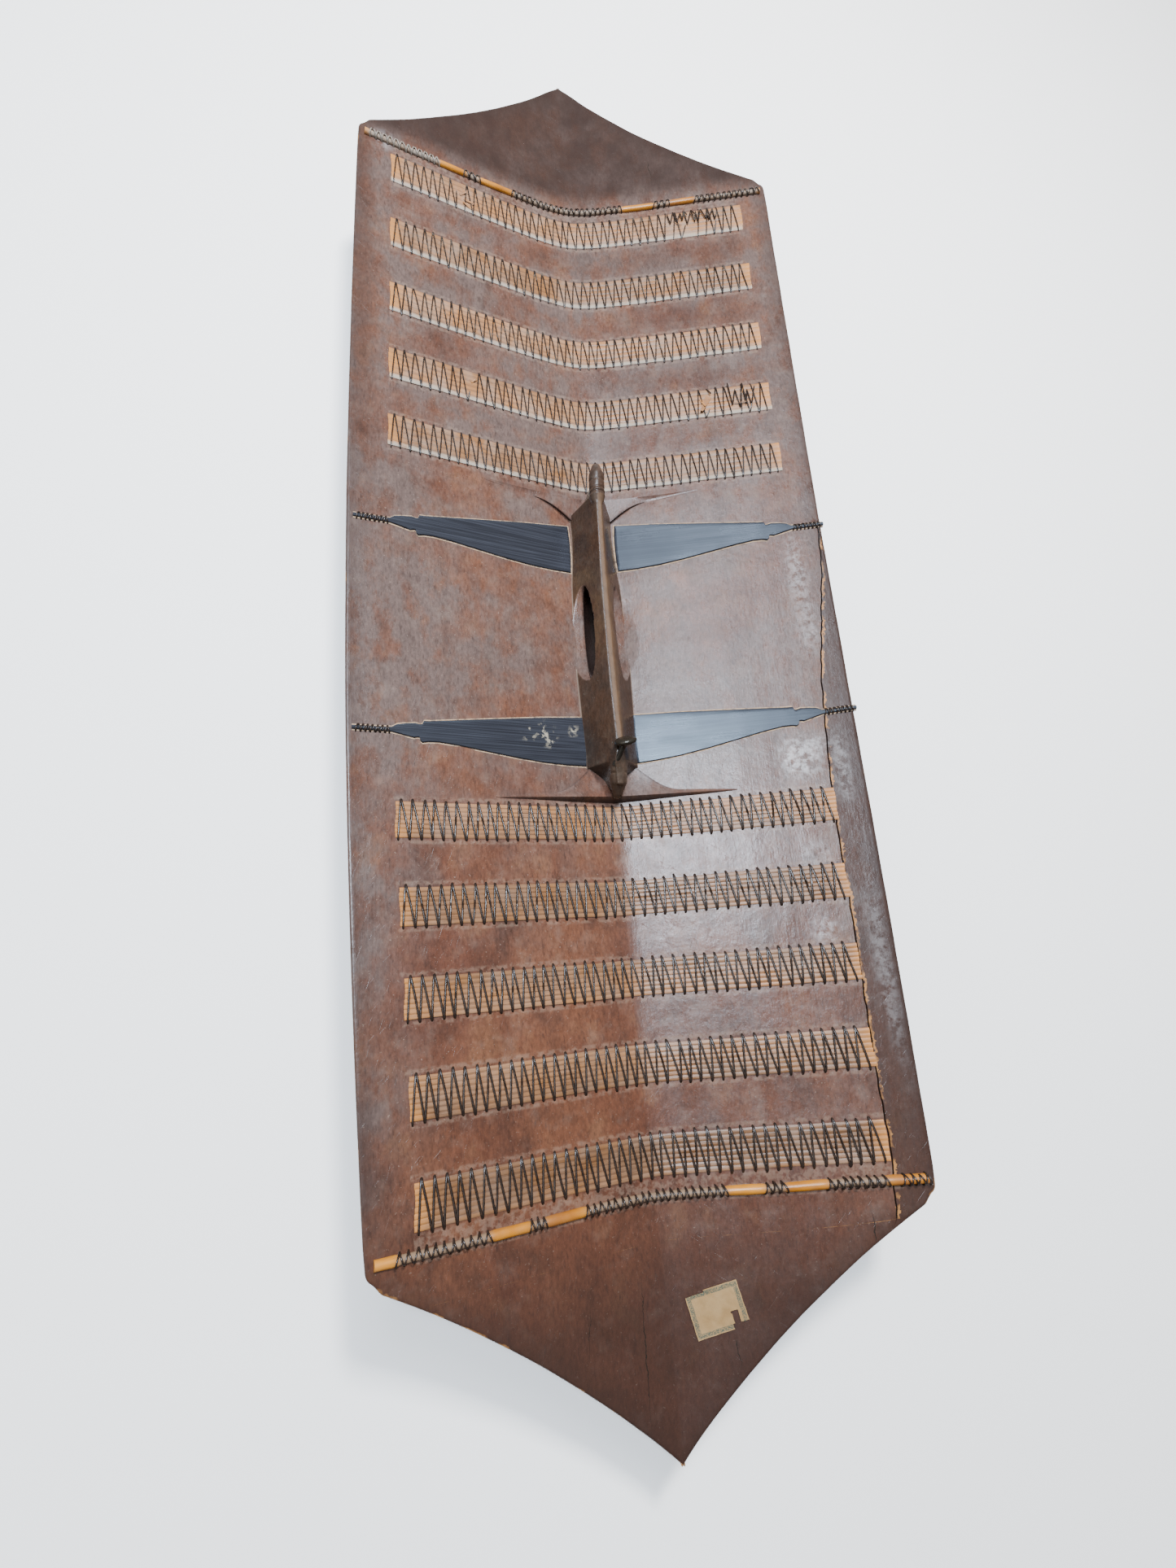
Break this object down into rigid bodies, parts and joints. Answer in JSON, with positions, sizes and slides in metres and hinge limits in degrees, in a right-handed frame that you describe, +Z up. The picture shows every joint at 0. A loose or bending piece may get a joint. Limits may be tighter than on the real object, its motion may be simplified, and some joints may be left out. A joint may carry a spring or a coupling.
{
  "type": "tribal shield",
  "caption": "Long six-sided carved wooden shield with a shallow V section, lying face down so that its carved handle, sewn rattan bands, blades and lashed end canes show.",
  "frame": {"origin": "on the floor under the middle of the board's bounding box, with the shield lying on its outer keel", "axes": "+X across the shield, +Y along it towards the end with the upper bands, +Z up from the keel to the handle side"},
  "size_m": [0.438, 1.3, 0.0974],
  "materials": {
    "board": "old hand-rubbed reddish brown wood with a purple grey patina, darker along the edges and worn to raw golden wood at the corners",
    "dark_wood": "polished dark hardwood with a bluish sheen",
    "rattan": "aged golden brown rattan splints, dusty in the joints",
    "cord": "dark brown plant-fibre cord, slightly glossy",
    "cane": "honey-coloured glossy cane",
    "paper": "bare torn tan paper with a plain faded blue-green border"
  },
  "bodies": {
    "root": {"shield_board": "board", "handle_peg": "dark_wood", "upper_left_blade": "dark_wood", "upper_right_blade": "dark_wood", "lower_left_blade": "dark_wood", "lower_right_blade": "dark_wood", "upper_left_blade_binding": "cord", "upper_right_blade_binding": "cord", "lower_left_blade_binding": "cord", "lower_right_blade_binding": "cord", "upper_band_1_rattan": "rattan", "upper_band_2_rattan": "rattan", "upper_band_3_rattan": "rattan", "upper_band_4_rattan": "rattan", "upper_band_5_rattan": "rattan", "lower_band_1_rattan": "rattan", "lower_band_2_rattan": "rattan", "lower_band_3_rattan": "rattan", "lower_band_4_rattan": "rattan", "lower_band_5_rattan": "rattan", "upper_band_1_lacing": "cord", "upper_band_2_lacing": "cord", "upper_band_3_lacing": "cord", "upper_band_4_lacing": "cord", "upper_band_5_lacing": "cord", "lower_band_1_lacing": "cord", "lower_band_2_lacing": "cord", "lower_band_3_lacing": "cord", "lower_band_4_lacing": "cord", "lower_band_5_lacing": "cord", "upper_end_cane": "cane", "lower_end_cane": "cane", "upper_cane_lashing_1": "cord", "upper_cane_lashing_2": "cord", "upper_cane_lashing_3": "cord", "upper_cane_lashing_4": "cord", "upper_cane_lashing_5": "cord", "lower_cane_lashing_1": "cord", "lower_cane_lashing_2": "cord", "lower_cane_lashing_3": "cord", "lower_cane_lashing_4": "cord", "lower_cane_lashing_5": "cord", "paper_patch": "paper"}
  },
  "joints": []
}
